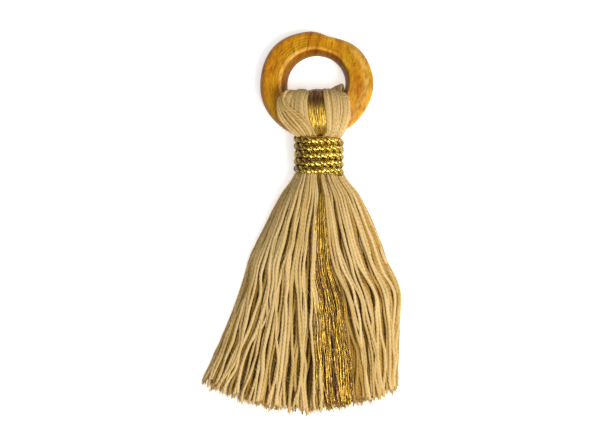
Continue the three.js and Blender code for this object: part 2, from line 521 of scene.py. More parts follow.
@dataclass(frozen=True)
class VarnishedWood:
    """Honey-coloured hardwood with straight grain, small dark pores and a semi-gloss varnish, with painted
    highlights and shade.

    The four noises are given as how often they change a metre, along the grain, across it and in depth, then
    as their detail and their roughness.
    """

    grain_turn: float = -80.0
    streak: tuple = ((230.0, 1150.0, 110.0), 5.0, 0.66)
    band: tuple = ((90.0, 260.0, 120.0), 3.0, 0.5)
    pores: tuple = ((620.0, 2300.0, 240.0), 2.0, 0.5)
    mottle: tuple = ((420.0, 700.0, 200.0), 4.0, 0.7)
    pale: tuple = (0.80, 0.47, 0.016)
    honey: tuple = (0.73, 0.36, 0.006)
    deep: tuple = (0.59, 0.235, 0.003)
    pore: tuple = (0.13, 0.035, 0.003)
    dark_line: tuple = (0.62, 0.45, 0.32)
    faint_line: tuple = (0.95, 0.9, 0.84)
    dark_cloud: tuple = (0.7, 0.58, 0.42)
    faint_cloud: tuple = (0.92, 0.9, 0.86)
    # Tints for the painted shade in the bore, the painted highlights on the edges, the painted shade on the
    # left rim and the right side, and the painted shade that reddens the left.
    bore_painted_shade: tuple = (0.4, 0.33, 0.1)
    painted_highlight: tuple = (0.95, 0.66, 0.2)
    painted_shade_tint: tuple = (0.42, 0.38, 0.3)
    painted_shade_red: tuple = (0.92, 0.74, 0.3)
    painted_shade_x_span: tuple = (-0.009, 0.002)
    roughness: tuple = (0.3, 0.55)

    def build(self) -> Material:
        """Makes the material.

        Returns:
            The material.
        """
        t = NodeTree("varnished_wood")
        coords = t.add("TexCoord").outputs["Object"]
        turned = t.add("Mapping", Rotation=(0.0, 0.0, math.radians(self.grain_turn)))
        t.join(coords, turned.inputs["Vector"])
        streak, band, pores, mottle = (
            self.stretched(t, turned.outputs[0], *noise)
            for noise in (self.streak, self.band, self.pores, self.mottle)
        )
        base = t.ramp(band, [(0.34, self.deep), (0.5, self.honey), (0.68, self.pale)])
        lines = t.ramp(streak, [(0.36, self.dark_line), (0.47, self.faint_line), (0.58, WHITE)])
        clouds = t.ramp(mottle, [(0.38, self.dark_cloud), (0.5, self.faint_cloud), (0.6, WHITE)])
        grained = t.mix(0.85, base, lines, "MULTIPLY")
        grained = t.mix(0.8, grained, clouds, "MULTIPLY")
        # Painted shade: the wood turns redder towards the left, away from the key light.
        place = t.add("SeparateXYZ")
        t.join(coords, place.inputs[0])
        lit_share = t.span(place.outputs["X"], self.painted_shade_x_span, (0.0, 1.0))
        painted_shade_redder = t.mix(1.0, grained, self.painted_shade_red, "MULTIPLY")
        grained = t.mix(t.times(t.math("SUBTRACT", 1.0, lit_share), 0.8), grained, painted_shade_redder)
        specks = t.ramp(pores, [(0.62, BLACK), (0.7, WHITE)])
        grained = t.mix(t.times(specks, 0.6), grained, self.pore)
        # Painted highlights on the marked edges, broken up by the mottle.
        patches = t.ramp(mottle, [(0.36, (0.1,) * 3), (0.56, (0.75,) * 3)])
        grained = t.mix(t.times(t.attribute("painted_lighting"), patches), grained, self.painted_highlight)
        # Painted shade on the left rim and the right side.
        grained = t.mix(t.attribute("painted_shade"), grained, t.mix(1.0, grained, self.painted_shade_tint, "MULTIPLY"))
        # Painted shade darkens the bore.
        painted_bore_shade = t.mix(1.0, grained, self.bore_painted_shade, "MULTIPLY")
        t.join(t.mix(t.attribute("bore"), grained, painted_bore_shade), t.shader.inputs["Base Color"])
        t.join(t.span(mottle, (0.0, 1.0), self.roughness), t.shader.inputs["Roughness"])
        t.shader.inputs["Specular IOR Level"].default_value = 0.22
        t.shader.inputs["Coat Weight"].default_value = 0.1
        t.shader.inputs["Coat Roughness"].default_value = 0.2
        height = t.plus(t.times(streak, 0.5), t.times(mottle, 1.6))
        t.bump(t.math("SUBTRACT", height, t.times(specks, 0.35)), 0.00025, 0.6)
        return t.material

    @staticmethod
    def stretched(t: NodeTree, turned: Socket, scale: tuple, detail: float, rough: float) -> Socket:
        """Noise drawn out along the grain.

        Args:
            t: The node tree.
            turned: The place, turned so that its X runs along the grain.
            scale: How often the noise changes a metre, along and across the grain and in depth.
            detail: The noise's detail.
            rough: The noise's roughness.

        Returns:
            The noise's socket.
        """
        mapping = t.add("Mapping", Scale=scale)
        t.join(turned, mapping.inputs["Vector"])
        return t.noise(mapping.outputs[0], 1.0, detail, rough)


@dataclass(frozen=True)
class CottonYarn:
    """Two-ply cotton in a warm beige, matt, with plies that lean round the yarn and a little fuzz."""

    name: str = "cotton_yarn"
    pale: tuple = (0.67, 0.49, 0.225)
    warm: tuple = (0.48, 0.31, 0.095)
    olive: tuple = (0.36, 0.2, 0.03)
    shade: tuple = (0.23, 0.105, 0.01)
    plies: float = 2.0
    ply_pitch: float = 2.4
    fibre_scale: float = 2600.0
    patch_scale: float = 140.0
    bump: float = 0.75

    def build(self) -> Material:
        """Makes the material.

        Returns:
            The material.
        """
        t = NodeTree(self.name)
        around, along = t.strand_place()
        turn = t.plus(t.times(around, self.plies), t.times(along, self.plies / self.ply_pitch))
        ply = t.math("SINE", t.times(turn, 2.0 * math.pi))
        coords = t.add("TexCoord").outputs["Object"]
        fibre = t.noise(coords, self.fibre_scale, 4.0, 0.7)
        patch = t.noise(coords, self.patch_scale, 2.0)
        fine = t.times(t.math("SUBTRACT", fibre, 0.5), 0.5)
        wide = t.times(t.math("SUBTRACT", patch, 0.5), 0.4)
        level = t.plus(t.attribute("tone"), t.plus(fine, wide))
        # Painted shade: the colour darkens a little in the grooves between the plies and lightens on their
        # crests.
        level = t.plus(level, t.times(ply, 0.06))
        colour = t.ramp(level, [(0.0, self.shade), (0.27, self.olive), (0.5, self.warm), (0.95, self.pale)])
        t.join(colour, t.shader.inputs["Base Color"])
        t.shader.inputs["Roughness"].default_value = 0.85
        t.shader.inputs["Specular IOR Level"].default_value = 0.2
        t.shader.inputs["Sheen Weight"].default_value = 0.06
        t.shader.inputs["Sheen Roughness"].default_value = 0.5
        t.shader.inputs["Sheen Tint"].default_value = (0.95, 0.82, 0.6, 1.0)
        if self.bump:
            t.bump(t.plus(t.times(ply, 0.32), t.times(fibre, 0.9)), 0.0002, self.bump)
        return t.material


@dataclass(frozen=True)
class MetallicThread:
    """Gold foil spun round a brown core, which shows between the bright stretches."""

    name: str
    bright: tuple = (0.82, 0.58, 0.12)
    old: tuple = (0.43, 0.26, 0.032)
    core: tuple = (0.13, 0.05, 0.028)
    roughness: float = 0.32
    stretch: float = 0.9
    contrast: float = 1.2
    threads: float = 0.0
    thread_pitch: float = 4.5

    def build(self) -> Material:
        """Makes the material.

        Returns:
            The material.
        """
        t = NodeTree(self.name)
        around, along = t.strand_place()
        tone = t.attribute("tone")
        long_run = self.flecks(t, tone, along, 57.0, self.stretch)
        short_run = self.flecks(t, tone, along, 131.0, self.stretch * 4.5)
        level = t.plus(tone, t.times(long_run, self.contrast))
        level = t.plus(level, t.times(short_run, self.contrast * 0.5))
        if self.threads:
            lean = t.times(along, -self.threads / self.thread_pitch)
            turn = t.times(t.plus(t.times(around, self.threads), lean), 2.0 * math.pi)
            thread = t.math("SINE", turn)
            level = t.plus(level, t.times(thread, 0.14))
            t.bump(thread, 0.0001, 0.4)
        colour = t.ramp(level, [(0.12, self.core), (0.42, self.old), (0.82, self.bright)])
        t.join(colour, t.shader.inputs["Base Color"])
        metal = t.ramp(level, [(0.05, (0.3,) * 3), (0.4, WHITE)])
        t.join(metal, t.shader.inputs["Metallic"])
        dull_to_smooth = (self.roughness + 0.15, self.roughness - 0.08)
        t.join(t.span(t.plus(short_run, 0.5), (0.0, 1.0), dull_to_smooth), t.shader.inputs["Roughness"])
        return t.material

    @staticmethod
    def flecks(t: NodeTree, tone: Socket, along: Socket, seed: float, rate: float) -> Socket:
        """Noise that changes along each thread, and from one thread to the next.

        Args:
            t: The node tree.
            tone: The number that tells the threads apart.
            along: The place along the thread, in millimetres.
            seed: Spreads the threads over the noise.
            rate: How often it changes a millimetre.

        Returns:
            The socket of a number between about -0.5 and 0.5.
        """
        place = t.add("CombineXYZ")
        t.join(t.times(tone, seed), place.inputs["X"])
        t.join(t.times(along, rate), place.inputs["Y"])
        return t.math("SUBTRACT", t.noise(place.outputs[0], 1.0, 2.0, 0.6), 0.5)


@dataclass(frozen=True)
class Paper:
    """The pale surface that the tassel lies on, lit a little from below as a light table is."""

    colour: tuple = (0.93, 0.925, 0.915)
    tooth_shade: float = 0.985
    glow: float = 0.5

    def build(self) -> Material:
        """Makes the material.

        Returns:
            The material.
        """
        t = NodeTree("paper")
        tooth = t.noise(t.add("TexCoord").outputs["Object"], 900.0, 3.0)
        shaded = tuple(c * self.tooth_shade for c in self.colour)
        t.join(t.ramp(tooth, [(0.0, shaded), (1.0, self.colour)]), t.shader.inputs["Base Color"])
        t.shader.inputs["Roughness"].default_value = 0.9
        t.shader.inputs["Specular IOR Level"].default_value = 0.2
        t.shader.inputs["Emission Color"].default_value = (1.0, 1.0, 1.0, 1.0)
        t.shader.inputs["Emission Strength"].default_value = self.glow
        return t.material


# ---- The tassel's outer form ----


# Rows down the skirt: the place down it, the left and right edge as shares of the hank's width, the crown's
# height as a share of the hank's height, then the gold band's left and right edge across the front and the
# width of the gap right of it.
SKIRT_ROWS = np.array(
    [
        (0.0, 0.47, 0.714, 0.77, -0.12, 0.1, 0.01),
        (0.035, 0.451, 0.735, 0.81, -0.1, 0.1, 0.01),
        (0.06, 0.43, 0.76, 0.85, -0.08, 0.11, 0.01),
        (0.1, 0.4, 0.796, 0.867, -0.06, 0.12, 0.01),
        (0.17, 0.36, 0.832, 0.867, -0.07, 0.13, 0.01),
        (0.25, 0.322, 0.868, 0.835, -0.09, 0.15, 0.01),
        (0.32, 0.284, 0.898, 0.82, -0.08, 0.17, 0.015),
        (0.41, 0.239, 0.934, 0.785, -0.07, 0.21, 0.02),
        (0.5, 0.216, 0.983, 0.74, -0.07, 0.25, 0.03),
        (0.56, 0.195, 1.0, 0.71, -0.05, 0.28, 0.03),
        (0.67, 0.155, 0.996, 0.66, 0.03, 0.36, 0.05),
        (0.8, 0.098, 0.989, 0.6, 0.12, 0.46, 0.08),
        (0.9, 0.051, 0.985, 0.555, 0.18, 0.51, 0.06),
        (1.0, 0.0, 0.989, 0.51, 0.23, 0.55, 0.04),
    ]
)


@dataclass
class Form:
    """The space that the strands fill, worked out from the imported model's boxes.

    A place across the tassel is a number from -1 at its left edge to 1 at its right edge. A place down the
    skirt is a share from 0 at the binding to 1 at the cut ends.
    """

    edge_rise: tuple[float, float] = (0.12, 0.09)
    squareness: float = 2.6
    neck_half_wide: float = 4.7
    neck_half_deep: float = 3.4

    def __post_init__(self) -> None:
        """Reads the rows and the boxes."""
        self.down, self.left, self.right, self.crown = SKIRT_ROWS.T[:4]
        self.gold_left, self.gold_right, self.gap = SKIRT_ROWS.T[4:]
        self.hank_low, self.hank_high = box_mm("cotton_hank")
        self.ring_low, self.ring_high = box_mm("wooden_ring")
        self.bind_low, self.bind_high = box_mm("binding_cord")
        self.hank_size = self.hank_high - self.hank_low
        self.neck_x = (self.bind_low[0] + self.bind_high[0]) / 2
        self.neck_z = (self.bind_low[2] + self.bind_high[2]) / 2
        self.skirt_top = self.bind_low[1] + 1.9
        self.skirt_length = self.skirt_top - self.hank_low[1]

    def edges(self, down: Array) -> tuple[Array, Array]:
        """The skirt's left and right edge.

        Args:
            down: Places down the skirt.

        Returns:
            The two edges' X.
        """
        width = self.hank_size[0]
        left = self.hank_low[0] + width * np.interp(down, self.down, self.left)
        right = self.hank_low[0] + width * np.interp(down, self.down, self.right)
        return left, right

    def skirt(self, down: Array, across: Array, layer: Array, leg: Leg, radius: float) -> Array:
        """Points in the skirt.

        Args:
            down: Places down the skirt.
            across: Places across it.
            layer: 0 in the skirt's middle to 1 at its surface.
            leg: The side of the tassel.
            radius: The strand's radius, which stays inside the surface.

        Returns:
            The points.
        """
        left, right = self.edges(down)
        x = (left + right) / 2 + across * (right - left) / 2
        rise = np.where(across < 0, self.edge_rise[0], self.edge_rise[1]) * across**2
        y = self.skirt_top - down * self.skirt_length * (1 - rise)
        height = self.hank_size[2] * np.interp(down, self.down, self.crown)
        crown = height * np.sqrt(np.clip(1 - np.abs(across) ** self.squareness, 0.0, 1.0))
        room = np.maximum(crown - 2 * radius, 0.0)
        z = radius + room * (0.5 + 0.5 * leg.value * layer)
        return np.stack(np.broadcast_arrays(x, y, z), axis=-1)

    def neck(self, y: float, across: Array, layer: Array, leg: Leg) -> Array:
        """Points in the bound neck.

        Args:
            y: The place along the tassel.
            across: Places across it.
            layer: 0 in the middle to 1 at the surface.
            leg: The side of the tassel.

        Returns:
            The points.
        """
        x = self.neck_x + self.neck_half_wide * across
        arch = np.sqrt(np.clip(1 - across**2, 0.02, 1.0))
        z = self.neck_z + leg.value * self.neck_half_deep * arch * (0.12 + 0.88 * layer)
        return np.stack(np.broadcast_arrays(x, np.full_like(x, y), z), axis=-1)


@dataclass
class HeadRow:
    """One place on the way over the ring's bar.

    Attributes:
        left: The head's left edge.
        right: Its right edge.
        inner: Y and Z next to the bar.
        outer: Y and Z at the outside of the fold.
    """

    left: float
    right: float
    inner: tuple[float, float]
    outer: tuple[float, float]


# The fold from the front of the binding, over the bar and through the ring, to the back of the binding.
HEAD_ROWS = (
    HeadRow(-1.6, 11.3, (22.4, 8.2), (22.7, 9.8)),
    HeadRow(-3.7, 12.6, (24.6, 9.5), (24.9, 11.5)),
    HeadRow(-4.9, 13.5, (26.8, 9.5), (28.2, 12.1)),
    HeadRow(-4.8, 13.4, (28.5, 8.9), (31.2, 11.7)),
    HeadRow(-4.0, 12.3, (29.4, 7.7), (33.3, 9.9)),
    HeadRow(-2.4, 11.2, (29.9, 5.9), (34.3, 6.4)),
    HeadRow(-2.5, 11.2, (29.5, 4.1), (33.4, 3.0)),
    HeadRow(-4.4, 12.6, (28.5, 3.1), (31.2, 0.9)),
    HeadRow(-5.0, 13.3, (26.8, 2.8), (28.2, 0.5)),
    HeadRow(-3.8, 12.5, (24.6, 2.9), (24.9, 0.7)),
    HeadRow(-1.3, 11.1, (22.0, 3.4), (22.2, 1.6)),
)
# The gold band's edges across the head, front binding to back binding.
GOLD_HEAD = (
    (4.2, 6.9),
    (3.0, 7.2),
    (2.3, 6.9),
    (2.2, 6.5),
    (2.6, 6.2),
    (2.9, 6.0),
    (2.8, 6.1),
    (2.7, 6.2),
    (2.8, 6.3),
    (3.2, 6.2),
    (3.6, 6.0),
)
RING_ROLL = 0.07


# ---- The strands ----


@dataclass
class Band:
    """Folded strands that lie side by side: where they lie across the skirt, the neck and the head.

    Attributes:
        form: The space that the strands fill.
        place: Each strand's place in the band, from 0 at its left to 1 at its right.
        layer: Each strand's layer in the skirt, from 0 at the inside of the fold to 1 at the outside.
        neck_layer: The same in the neck, where the strands are pressed into more layers.
        skirt_edges: The band's left and right edge down each leg, from -1 to 1 across the skirt.
        neck_edges: Its edges across the neck, from -1 to 1.
        head_edges: Its left and right edge in each row of the head.
        radius: A strand's radius in the skirt.
        seed: Starts the random numbers.
        locks: How many locks the strands gather in.
        bend: How far a strand wanders across the skirt.
        ripple: How far it ripples.
        stray_share: The share of the strands that wander further.
        stray_bend: How many times further they wander.
        lock_pull: How far a lock draws its strands together at the cut ends, as a share.
        under: How much further left and right the strands below the outermost layer spread at the front.
        fan: The power that the places are raised to at the front's cut ends. Below 1, they move right.
        sink: How far the band lies below the surface of the skirt, in layers.
        under_loops: How far it lies below the head's loose loops.
        uneven: The spread of the strands' lengths, as a share.
        hole: The radius of the ring's hole that the inner strands stay within.
    """

    form: Form
    place: Array
    layer: Array
    neck_layer: Array
    skirt_edges: dict[Leg, tuple[Array, Array]]
    neck_edges: tuple[float, float]
    head_edges: list[tuple[float, float]]
    radius: float
    seed: int
    locks: int
    bend: float = 1.0
    ripple: float = 0.42
    stray_share: float = 0.14
    stray_bend: float = 2.2
    lock_pull: float = 0.22
    under: tuple[float, float] = (0.0, 0.0)
    fan: float = 1.0
    sink: float = 0.0
    under_loops: float = 0.8
    uneven: float = 0.011
    hole: float = 7.5

    def knots(self) -> Array:
        """The points that each strand passes through, from its front cut end to its back one.

        Returns:
            Strands by knots by 3.
        """
        rng = np.random.default_rng(self.seed)
        front = self.leg_knots(rng, Leg.FRONT)
        back = self.leg_knots(rng, Leg.BACK)
        return np.concatenate([front[:, ::-1], self.head_knots(rng), back], axis=1)

    def leg_knots(self, rng: Rng, leg: Leg) -> Array:
        """One leg, from the top of the binding to the cut end.

        Args:
            rng: The source of random numbers.
            leg: The side of the tassel.

        Returns:
            Strands by knots by 3.
        """
        form = self.form
        low, high = self.neck_edges
        across = low + (high - low) * self.place
        neck_y = np.linspace(form.bind_high[1] - 1.2, form.skirt_top + 1.3, 4)
        neck = [form.neck(y, across, self.neck_layer, leg)[:, None] for y in neck_y]
        down = np.concatenate([[0.0, 0.025, 0.055, 0.095], np.linspace(0.14, 1.0, 22)])
        grow = np.clip(down / 0.45, 0.1, 1.0)
        across, lock = self.across_skirt(rng, leg, down, grow)
        layer = self.layers_down(rng, down, grow, lock)
        length = 0.988 + rng.normal(0.0, self.uneven, (len(self.place), 1))
        skirt = form.skirt(down * length, across, np.clip(layer, -0.2, 1.1), leg, self.radius)
        return np.concatenate([*neck, skirt], axis=1)

    def across_skirt(self, rng: Rng, leg: Leg, down: Array, grow: Array) -> tuple[Array, Array]:
        """Where each strand lies across the skirt, gathered in locks and bent a little.

        Args:
            rng: The source of random numbers.
            leg: The side of the tassel.
            down: Places down the skirt.
            grow: How much of the full bend there is at each.

        Returns:
            Strands by places, from -1 to 1, and the lock that each strand is in.
        """
        n, m = len(self.place), len(down)
        form = self.form
        low, high = (np.interp(down, form.down, edge) for edge in self.skirt_edges[leg])
        deep = (self.layer < 0.8)[:, None] * rise(down, 0, 0.3) * (leg is Leg.FRONT)
        low, high = low + self.under[0] * deep, high + self.under[1] * deep
        lock = np.floor(np.clip(self.place + rng.normal(0, 0.015, n), 0, 0.999) * self.locks).astype(int)
        cuts = rng.uniform(-0.5, 0.5, self.locks)
        centre = (lock + 0.5 + 0.3 * cuts[lock]) / self.locks
        outermost = (self.layer > 0.9)[:, None]
        pull = self.lock_pull * rise(down, 0.2, 0.8) ** 1.3 * outermost
        place = self.place[:, None] + (centre - self.place)[:, None] * pull
        if leg is Leg.FRONT:
            moved = np.where(self.layer > 0.5, 1.0, 0.4)[:, None]
            swing = (self.fan - 1) * rise(down, 0.3, 0.7) * moved
            place = np.clip(place, 0, 1) ** (1 + swing)
        stray = np.where(rng.random((n, 1)) < self.stray_share, self.stray_bend, 1.0)
        place = place + smooth_noise(rng, self.locks, m, 7)[lock] * 0.18 / self.locks * grow * outermost
        left, right = form.edges(down)
        half = (right - left) / 2
        across = low + (high - low) * place
        across = across + smooth_noise(rng, n, m, 7) * self.bend * stray * grow / half
        across = across + smooth_noise(rng, n, m, 2) * self.ripple * grow / half
        return np.clip(across, -0.995, 0.995), lock

    def layers_down(self, rng: Rng, down: Array, grow: Array, lock: Array) -> Array:
        """Each strand's layer on its way from the neck to the cut end.

        Args:
            rng: The source of random numbers.
            down: Places down the skirt.
            grow: How much of the full bend there is at each.
            lock: The lock that each strand is in.

        Returns:
            Strands by places.
        """
        n, m = len(self.place), len(down)
        opens = rng.uniform(0.1, 0.42, (n, 1))
        spread = rise(down, 0, opens)
        spread = spread * spread * (3 - 2 * spread)
        layer = self.neck_layer[:, None] * (1 - spread) + self.layer[:, None] * spread
        layer = layer - self.sink * rise(down, 0, 0.3)
        layer = layer + smooth_noise(rng, self.locks, m, 6)[lock] * 0.05 * grow
        return layer + smooth_noise(rng, n, m, 6) * 0.07 * grow

    def head_knots(self, rng: Rng) -> Array:
        """The fold over the bar.

        Args:
            rng: The source of random numbers.

        Returns:
            Strands by rows by 3, from the front of the binding to the back.
        """
        found = []
        n = len(self.place)
        crest = len(HEAD_ROWS) // 2
        slack = smooth_noise(rng, n, len(HEAD_ROWS), 3) * 0.03
        deep = np.clip(1.6 - 2 * self.layer, 0, 1)
        hole_x, hole_y = ((self.form.ring_low + self.form.ring_high) / 2)[:2]
        for i, (row, (low, high)) in enumerate(zip(HEAD_ROWS, self.head_edges)):
            middle = (row.left + row.right) / 2
            near_crest = math.exp(-(((i - crest) / 1.6) ** 2))
            x = low + (high - low) * self.place + rng.normal(0, 0.04, n)
            x = hole_x + (x - hole_x) * (1 - 0.28 * deep * near_crest)
            level = np.where(self.layer > 0.9, 1 - 0.3 * (1 - self.layer), self.layer)
            layer = np.clip(level + slack[:, i], 0, 1.03)
            y = row.inner[0] + (row.outer[0] - row.inner[0]) * layer
            z = row.inner[1] + (row.outer[1] - row.inner[1]) * layer
            off = (x - middle) / ((row.right - row.left) / 2)
            if abs(i - crest) <= 1:
                # The inner strands lie on the hole's wall, which rises to both sides.
                bar = hole_y - np.sqrt(np.clip(self.hole**2 - (x - hole_x) ** 2, 2.0, None)) + 0.35
                y = np.where(self.layer < 0.6, np.maximum(y, bar), y)
            # The crest falls off at both ends, and dips between the left lobe and the gold.
            y = y - 0.9 * np.abs(off) ** 3 * near_crest - 0.5 * hump(x, 2.2, 0.9) * near_crest
            z = z + (-1 if i < crest else 1) * np.abs(off) ** 3 * (1 - near_crest) * self.layer
            if i == crest + 1:
                # Behind the crest the right lobe stands up in the hole.
                x = x + 0.4 * rise(x, 8.0, 3.0)
                y = y + 3.2 * hump(x, 12.0, 3.5) * np.clip(self.layer * 2 - 0.6, 0, 1)
            if i < crest:
                z = z - self.under_loops * fall(x, 0.5, 2.5) * (y < 32)
            z = z + RING_ROLL * (x - middle) * 0.7
            found.append(np.stack([x, y, z], axis=-1)[:, None])
        return np.concatenate(found, axis=1)


@dataclass
class CottonHank:
    """The beige yarn: two bands of folded strands, the loose loops at the left of the head, and the fuzz."""

    form: Form
    finish: CottonYarn
    strands: int = 126
    shares_left: tuple[float, float] = (0.34, 0.3)
    shares_right: tuple[float, float] = (0.25, 0.26)
    radius_skirt: float = 0.43
    radius_head: float = 0.4
    radius_neck: float = 0.3
    gold_gap: float = 0.15
    step: float = 1.0
    sides: int = 8
    inner_sides: int = 6
    head_tone: float = 0.69
    loops: int = 7
    loop_thin: float = 0.82
    loop_tone: float = -0.13
    hairs: int = 2600
    frays: int = 7
    ends: list[Array] = field(default_factory=list)
    hair_roots: list[Array] = field(default_factory=list)

    def layers(self, rng: Rng, count: int, shares: tuple[float, float]) -> tuple[Array, Array, Array]:
        """Places and layers for a band's strands, outermost first.

        Args:
            rng: The source of random numbers.
            count: How many strands.
            shares: The shares of them in the outermost layer and in the next.

        Returns:
            The places across the band, the layers in the skirt and the layers in the neck.
        """
        top, second = (int(count * share) for share in shares)
        place, layer, neck = [], [], []
        for n, level in ((top, 1.0), (second, 0.7), (count - top - second, 0.36)):
            place.append((np.arange(n) + 0.5) / n + rng.normal(0, 0.14 / n, n))
            layer.append(np.full(n, level) - 0.05 * (np.arange(n) % 2) + rng.normal(0, 0.015, n))
            neck.append(level * rng.choice([1.0, 0.8, 0.62], n))
        return np.clip(np.concatenate(place), 0, 1), np.concatenate(layer), np.concatenate(neck)

    def band(self, side: int, seed: int) -> Band:
        """One of the two bands.

        Args:
            side: -1 for the band left of the gold, 1 for the one right of it.
            seed: Starts its random numbers.

        Returns:
            The band.
        """
        form = self.form
        rng = np.random.default_rng(seed)
        share = 0.61 if side < 0 else 0.39
        shares = self.shares_left if side < 0 else self.shares_right
        place, layer, neck = self.layers(rng, int(self.strands * share), shares)
        place = place if side < 0 else place ** np.where(layer > 0.5, 1.25, 1.0)
        edge = np.ones(len(form.down))
        if side < 0:
            front = (-edge, form.gold_left + 0.05)
            back = (-edge, -0.06 * edge)
        else:
            front = (form.gold_right + form.gap, edge)
            back = (0.06 * edge, edge)
        head = []
        for row, (gold_low, gold_high) in zip(HEAD_ROWS, GOLD_HEAD):
            if side < 0:
                head.append((row.left + self.radius_head, gold_low - self.gold_gap))
            else:
                head.append((gold_high + self.gold_gap, row.right - self.radius_head))
        return Band(
            form=form,
            place=place,
            layer=layer,
            neck_layer=neck,
            skirt_edges={Leg.FRONT: front, Leg.BACK: back},
            neck_edges=(-1.0, -0.05) if side < 0 else (0.12, 1.0),
            head_edges=head,
            radius=self.radius_skirt,
            seed=seed + 50,
            locks=8 if side < 0 else 6,
            under=(0.0, 0.4) if side < 0 else (-0.28, 0.0),
            fan=1.0 if side < 0 else 0.56,
            lock_pull=0.15 if side < 0 else 0.3,
        )

    def radii(self, paths: Array, rng: Rng) -> Array:
        """The yarn's radius along each path: pressed thin in the neck, loose in the skirt.

        Args:
            paths: Strands by points by 3.
            rng: The source of random numbers.

        Returns:
            Strands by points.
        """
        y = paths[..., 1]
        form = self.form
        skirt = fall(y, form.bind_low[1] + 1.0, 14.0)
        head = rise(y - form.bind_high[1], -0.6, 2.5)
        thick = self.radius_neck + (self.radius_skirt - self.radius_neck) * skirt**0.8
        thick = thick + (self.radius_head - self.radius_neck) * head
        slub = 1 + 0.2 * smooth_noise(rng, paths.shape[0], paths.shape[1], 3)
        each = rng.normal(1.0, 0.09, (paths.shape[0], 1))
        return thick * slub * np.clip(each, 0.78, 1.25)

    def tones(self, paths: Array, layer: Array, rng: Rng) -> Array:
        """The yarn's lightness along each path, with painted shade: browner on the inner layers, behind the
        loops and at the hem's right.

        Args:
            paths: Strands by points by 3.
            layer: Each strand's layer.
            rng: The source of random numbers.

        Returns:
            Strands by points.
        """
        x, y, z = np.moveaxis(paths, -1, 0)
        each = rng.normal(0.0, 0.1, (paths.shape[0], 1))
        slow = smooth_noise(rng, paths.shape[0], paths.shape[1], 10) * 0.08
        # Painted shade: the skirt's inner layers are made browner, a little less so below the neck's middle.
        depth = np.interp(layer, (0.0, 0.5, 0.8, 1.0), (0.08, 0.2, 0.46, 0.79))[:, None]
        skirt = fall(y, self.form.bind_low[1], 8.0)
        under = fall(z, self.form.neck_z, 3.0)
        # Painted shade under the loops, which lie over the head's left, below a line that slopes from the
        # crest to the gold.
        below_line = np.clip((2.4 - x - 1.1 * np.clip(y - 25.5, 0, None)) / 1.5, 0, 1)
        behind = below_line * rise(y, 21.0, 2.0) * (layer < 0.999)[:, None]
        # Painted shade at the right of the hem.
        hem = rise(x, 9.0, 5.0) * fall(y, -24.0, 14.0)
        tone = self.head_tone + (depth - self.head_tone) * skirt * (1 - 0.4 * under)
        return tone - 0.24 * behind - 0.12 * hem + each + slow

    def loop_knots(self, band: Band) -> Array:
        """Loops that swing out at the left of the head and sweep down to the binding.

        Args:
            band: The band that they belong to.

        Returns:
            Strands by knots by 3.
        """
        outer = np.array(
            [(-3.8, 33.2, 9.0), (-5.1, 31.6, 10.5), (-5.5, 29.6, 11.2), (-5.0, 26.9, 11.4),
             (-3.6, 24.7, 11.1), (-1.6, 22.8, 10.1)]
        )
        inner = np.array(
            [(-3.2, 33.7, 9.2), (-4.2, 31.9, 11.1), (-3.1, 29.8, 12.0), (-0.6, 27.7, 12.4),
             (2.1, 25.6, 12.1), (3.8, 23.0, 10.7)]
        )
        share = np.array([0.0, 0.12, 0.34, 0.5, 0.66, 0.82, 1.0])
        rng = np.random.default_rng(77)
        swept = outer + (inner - outer) * share[:, None, None]
        swept += rng.normal(0, 0.1, swept.shape)
        level = np.full(self.loops, 0.98)
        carrier = replace(
            band, place=0.02 + 0.24 * share, layer=level, neck_layer=level * 0.9, seed=78, under_loops=0.0
        )
        whole = carrier.knots()
        carrier.place = 0.05 + 0.7 * share
        legs = carrier.leg_knots(np.random.default_rng(79), Leg.FRONT)
        return np.concatenate([legs[:, ::-1], swept[:, ::-1], whole[:, legs.shape[1] + 5 :]], axis=1)

    def fuzz(self, material: Material) -> None:
        """Fine hairs along the yarns, and the untwisted fibres at their cut ends.

        Args:
            material: The yarn's material.
        """
        rng = np.random.default_rng(91)
        mesh = StrandMesh(3)
        roots = np.concatenate(self.hair_roots)
        pick = roots[rng.choice(len(roots), self.hairs, replace=False)]
        along, start = pick[:, 1] * rng.choice([-1, 1], (self.hairs, 1)), pick[:, 0]
        lean = rng.normal(0, 1, (self.hairs, 3))
        lean[:, 2] = np.abs(lean[:, 2])
        length = rng.uniform(0.6, 2.2, (self.hairs, 1))
        curl = rng.normal(0, 0.6, (self.hairs, 3)) * length
        tones = np.ones((self.hairs, 1))
        self.add_fibres(mesh, start, unit(along + 0.35 * lean) * length, curl, tones, 6, (0.032, 0.5), 0.1)
        ends = np.concatenate(self.ends)
        count = len(ends) * self.frays
        tip, out = (np.repeat(ends[:, k], self.frays, axis=0) for k in range(2))
        spread = rng.normal(0, 1, (count, 3)) * (0.32, 0.12, 0.22)
        length = rng.uniform(0.5, 1.7, (count, 1))
        start = tip + rng.normal(0, 0.16, (count, 3)) * (1, 0, 1) - out * 0.5
        curl = rng.normal(0, 0.16, (count, 3))
        tones = 0.8 + rng.normal(0, 0.1, (count, 1))
        reach = unit(out + spread) * (length + 0.5)
        self.add_fibres(mesh, start, reach, curl, tones, 5, (0.085, 0.65), 0.12)
        hand_over(mesh.build("yarn_fuzz", material), "cotton_yarn", "cotton_hank")

